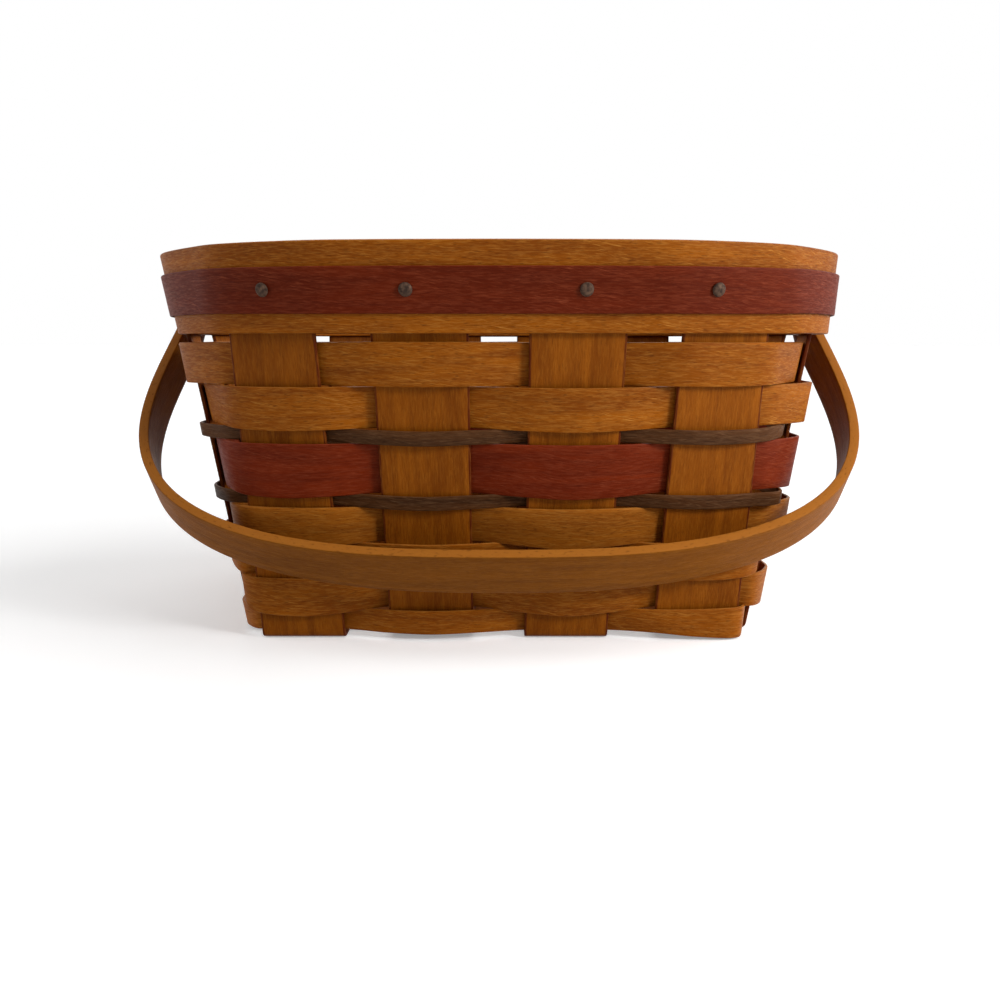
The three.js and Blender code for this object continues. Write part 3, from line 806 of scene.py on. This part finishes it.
def set_or_link(tree, socket, value):
    if isinstance(value, bpy.types.NodeSocket):
        tree.links.new(value, socket)
    else:
        socket.default_value = value


def add_node(tree, kind, inputs=None, **settings):
    made = tree.nodes.new(kind)
    for key, value in settings.items():
        setattr(made, key, value)
    for key, value in (inputs or {}).items():
        set_or_link(tree, made.inputs[key], value)
    return made


def new_material(name):
    material = bpy.data.materials.new(name)
    material.use_nodes = True
    tree = material.node_tree
    return material, tree, tree.nodes["Principled BSDF"]


def maths(tree, operation, first, second):
    return add_node(tree, "ShaderNodeMath", {0: first, 1: second}, operation=operation).outputs[0]


def attribute(tree, name):
    return add_node(tree, "ShaderNodeAttribute", attribute_name=name).outputs["Vector"]


def stretched_noise(tree, grain, stretch, detail, distortion):
    """Noise drawn out along the grain; stretch is how often it changes per metre along, across, through."""
    scaled = add_node(tree, "ShaderNodeVectorMath", {0: grain, 1: stretch}, operation="MULTIPLY")
    settings = {
        "Vector": scaled.outputs[0],
        "Scale": 1.0,
        "Detail": detail,
        "Roughness": NOISE_ROUGHNESS,
        "Distortion": distortion,
    }
    return add_node(tree, "ShaderNodeTexNoise", settings).outputs["Fac"]


def remap(tree, value, low, high, to_low=0.0, to_high=1.0):
    limits = {"Value": value, "From Min": low, "From Max": high, "To Min": to_low, "To Max": to_high}
    return add_node(tree, "ShaderNodeMapRange", limits).outputs["Result"]


def mix_colour(tree, factor, first, second):
    inputs = {MIX_FACTOR: factor, MIX_FIRST: first, MIX_SECOND: second}
    made = add_node(tree, "ShaderNodeMix", inputs, data_type="RGBA", blend_type="MIX")
    return made.outputs[MIX_RESULT]


def add_bump(tree, shader, strength, height):
    relief = {"Strength": strength, "Distance": BUMP_DISTANCE, "Height": height}
    bump = add_node(tree, "ShaderNodeBump", relief)
    tree.links.new(bump.outputs[0], shader.inputs["Normal"])


def wood_material(name, finish):
    """Stained splint: broad figure, soft stain, fibre, short dark flecks, pale scuffs (wear and painted
    glints) and painted edge shade and highlight.
    """
    material, tree, shader = new_material(name)
    main, dark, pale, pore, low_edge_painted_light, high_edge_painted_light = (linear(*finish[key]) for key in WOOD_COLOURS)
    edge_start, roughness = finish["edge_start"], finish["roughness"]
    edge_end = edge_start + EDGE_FADE
    grain = attribute(tree, "grain")
    turn = {"Vector": grain, "Angle": SCUFF_AND_GLINT_SLANT}
    slanted = add_node(tree, "ShaderNodeVectorRotate", turn, rotation_type="Z_AXIS").outputs[0]
    figure = stretched_noise(tree, grain, *FIGURE)
    stain = stretched_noise(tree, grain, *STAIN)
    fibre = stretched_noise(tree, grain, *FIBRE)
    flecks = stretched_noise(tree, grain, *FLECKS)
    scuffs_and_glints = stretched_noise(tree, slanted, *SCUFFS_AND_GLINTS)
    patches = remap(tree, stretched_noise(tree, grain, *PATCHES), *PATCH_RANGE, LEAST_PATCH, 1.0)
    scuffs_and_glints = remap(tree, scuffs_and_glints, *SCUFF_AND_GLINT_RANGE, 0.0, finish["scuff_and_glint_share"])
    scuff_and_glint_mask = maths(tree, "MULTIPLY", scuffs_and_glints, patches)
    flecked = remap(tree, flecks, *FLECK_RANGE, 0.0, finish["fleck_share"])
    place = add_node(tree, "ShaderNodeSeparateXYZ", {0: attribute(tree, "edge")})
    side, tone = place.outputs[0], place.outputs[1]
    base = mix_colour(tree, remap(tree, figure, *FIGURE_RANGE), dark, main)
    base = mix_colour(tree, remap(tree, stain, *STAIN_RANGE, STAIN_SHARE, 0.0), base, dark)
    base = mix_colour(tree, remap(tree, tone, 0.0, -1.0), base, pore)
    base = mix_colour(tree, remap(tree, tone, 0.0, 1.0), base, pale)
    # Painted shade and painted highlight along the narrow edges, from the place across the section
    base = mix_colour(tree, remap(tree, side, -edge_start, -edge_end, 0.0, EDGE_PAINTED_LIGHT_SHARE), base, low_edge_painted_light)
    base = mix_colour(tree, remap(tree, side, edge_start, edge_end, 0.0, EDGE_PAINTED_LIGHT_SHARE), base, high_edge_painted_light)
    base = mix_colour(tree, remap(tree, fibre, *FIBRE_RANGE, 0.0, FIBRE_SHARE), base, pale)
    # Pale scuffs in patches: partly wear and partly painted glints
    base = mix_colour(tree, scuff_and_glint_mask, base, pale)
    base = mix_colour(tree, flecked, base, pore)
    tree.links.new(base, shader.inputs["Base Color"])
    gloss = remap(tree, fibre, *GLOSS_RANGE, roughness + WOOD_ROUGHER, roughness - WOOD_SMOOTHER)
    tree.links.new(gloss, shader.inputs["Roughness"])
    add_bump(tree, shader, WOOD_BUMP, maths(tree, "SUBTRACT", fibre, flecks))
    shader.inputs["Specular IOR Level"].default_value = WOOD_SPECULAR
    return material


def metal_material(name, main, dark, roughness):
    """Dull aged metal, blotched in its colour and gloss."""
    material, tree, shader = new_material(name)
    place = add_node(tree, "ShaderNodeTexCoord").outputs["Object"]
    settings = {"Vector": place, "Scale": BLOTCH_SCALE, "Detail": BLOTCH_DETAIL}
    blotch = add_node(tree, "ShaderNodeTexNoise", settings).outputs["Fac"]
    base = mix_colour(tree, remap(tree, blotch, *BLOTCH_RANGE), linear(*dark), linear(*main))
    tree.links.new(base, shader.inputs["Base Color"])
    gloss = remap(tree, blotch, *GLOSS_RANGE, roughness + METAL_ROUGHER, roughness - METAL_SMOOTHER)
    tree.links.new(gloss, shader.inputs["Roughness"])
    shader.inputs["Metallic"].default_value = METALLIC
    add_bump(tree, shader, METAL_BUMP, blotch)
    return material


MATERIALS = {name: wood_material(name, finish) for name, finish in WOODS.items()}
MATERIALS.update({name: metal_material(name, *finish) for name, finish in METALS.items()})

# Build the pieces
weave_rng = np.random.default_rng(WEAVE_SEED)
pieces = [weaver(i, weave_rng) for i in range(len(WEAVER_ROWS))]
for i, place in enumerate(FRONT_PLACES):
    node, seed = f"splint_front_back_{i + 1}", FRONT_SPLINT_SEED + i
    pieces.append(upright(node, WALLS[FRONT_WALL], place, SIDE_PLACES, i % 2 == 0, seed))
for i, place in enumerate(SIDE_PLACES):
    node, seed = f"splint_side_side_{i + 1}", SIDE_SPLINT_SEED + i
    pieces.append(upright(node, WALLS[RIGHT_WALL], place, FRONT_PLACES, i % 2 == 0, seed))
pieces.extend(ring_piece(*row) for row in RIM_PIECES)
pieces.append(handle())
pieces.extend(tack(f"tack_{i + 1}") for i in range(TACK_COUNT))
pieces.extend(rivet(side, sign) for side, sign in RIVET_SIGNS.items())
for piece in pieces:
    piece.data.materials.append(MATERIALS[piece["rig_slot"]])
for side in RIVET_SIGNS:
    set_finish(frame["nodes"][f"washer_{side}"], "rivet_metal")
    frame["nodes"][f"washer_{side}"].data.materials.clear()
    frame["nodes"][f"washer_{side}"].data.materials.append(MATERIALS["rivet_metal"])

# Ground: its size in metres, its tone as it lights the basket and as it is seen, and its own glow
# where it is seen
GROUND_SIZE = 40.0
GROUND_LIGHT_TONE = 0.68
GROUND_SEEN_TONE = 0.95
GROUND_SEEN_GLOW = 0.27
WHITE = (1, 1, 1, 1)


def backdrop_seen(tree):
    """1 where a ray shows the backdrop: to the camera, in a reflection or through glass."""
    path = add_node(tree, "ShaderNodeLightPath")
    seen = path.outputs["Is Camera Ray"]
    for other in ("Is Glossy Ray", "Is Transmission Ray"):
        seen = maths(tree, "MAXIMUM", seen, path.outputs[other])
    return seen


def floor_material():
    material, tree, shader = new_material("pale_floor")
    seen = backdrop_seen(tree)
    tone = remap(tree, seen, 0.0, 1.0, GROUND_LIGHT_TONE, GROUND_SEEN_TONE)
    tree.links.new(tone, shader.inputs["Base Color"])
    glow = remap(tree, seen, 0.0, 1.0, 0.0, GROUND_SEEN_GLOW)
    tree.links.new(glow, shader.inputs["Emission Strength"])
    shader.inputs["Emission Color"].default_value = WHITE
    shader.inputs["Roughness"].default_value = 1.0
    shader.inputs["Specular IOR Level"].default_value = 0.0
    return material


bpy.ops.mesh.primitive_plane_add(size=GROUND_SIZE)
floor = bpy.context.object
floor.name = "floor"
floor.data.materials.append(floor_material())

# Light: a near soft lamp at the right of the camera, and wide lamps far off
KEY_PLACE = (330, -330, 225)
KEY_AIM = (0, -90, 70)
KEY_POWER = 1.2
KEY_SIZE = 100
# Wide lamps: azimuth to the right of straight in front and elevation, in degrees, and strength
WIDE_LAMPS = {
    "side": (82, 26, 2.0),
    "left": (-85, 24, 1.2),
    "back": (170, 32, 1.0),
}
WIDE_LAMP_SPREAD = 60
# The world lights the basket at this strength, and is white where it is seen
WORLD_LIGHT = 0.24


def near_lamp(name, place, aim, power, size):
    """A square lamp that faces a point; places and size are in millimetres."""
    data = bpy.data.lights.new(name, "AREA")
    data.energy = power
    data.size = size * MM
    lamp = bpy.data.objects.new(name, data)
    lamp.location = Vector(place) * MM
    lamp.rotation_euler = (Vector(aim) - Vector(place)).to_track_quat("-Z", "Y").to_euler()
    lamp.visible_camera = False
    scene.collection.objects.link(lamp)


def wide_lamp(name, azimuth, elevation, strength):
    data = bpy.data.lights.new(name, "SUN")
    data.energy = strength
    data.angle = math.radians(WIDE_LAMP_SPREAD)
    lamp = bpy.data.objects.new(name, data)
    lamp.rotation_euler = (math.radians(90 - elevation), 0, math.radians(azimuth))
    scene.collection.objects.link(lamp)


near_lamp("key", KEY_PLACE, KEY_AIM, KEY_POWER, KEY_SIZE)
for lamp_name, lamp_values in WIDE_LAMPS.items():
    wide_lamp(lamp_name, *lamp_values)

world = bpy.data.worlds.new("studio")
scene.world = world
world.use_nodes = True
world_tree = world.node_tree
background = world_tree.nodes["Background"]
background.inputs["Color"].default_value = WHITE
world_strength = remap(world_tree, backdrop_seen(world_tree), 0.0, 1.0, WORLD_LIGHT, 1.0)
world_tree.links.new(world_strength, background.inputs["Strength"])

# Camera at the photograph's place: rows, columns and the focal length are in its pixels
PICTURE_SIZE = 1000
FOCAL_PIXELS = 955.0
HORIZON_ROW = 341.0
AXIS_ROW = 626.6
AXIS_COLUMN = 499.0
CAMERA_HEIGHT = 98.6
CAMERA_DISTANCE = 388.9
SENSOR = 36.0
NEAREST_SEEN = 10.0
camera_data = bpy.data.cameras.new("camera")
camera_data.sensor_width = SENSOR
camera_data.lens = FOCAL_PIXELS / PICTURE_SIZE * SENSOR
camera_data.shift_x = (PICTURE_SIZE / 2 - AXIS_COLUMN) / PICTURE_SIZE
camera_data.shift_y = (AXIS_ROW - PICTURE_SIZE / 2) / PICTURE_SIZE
camera_data.clip_start = NEAREST_SEEN * MM
camera = bpy.data.objects.new("camera", camera_data)
camera.location = (0, -CAMERA_DISTANCE * MM, CAMERA_HEIGHT * MM)
camera.rotation_euler = (math.pi / 2 - math.atan((AXIS_ROW - HORIZON_ROW) / FOCAL_PIXELS), 0, 0)
scene.collection.objects.link(camera)
scene.camera = camera

scene.view_settings.view_transform = "Standard"
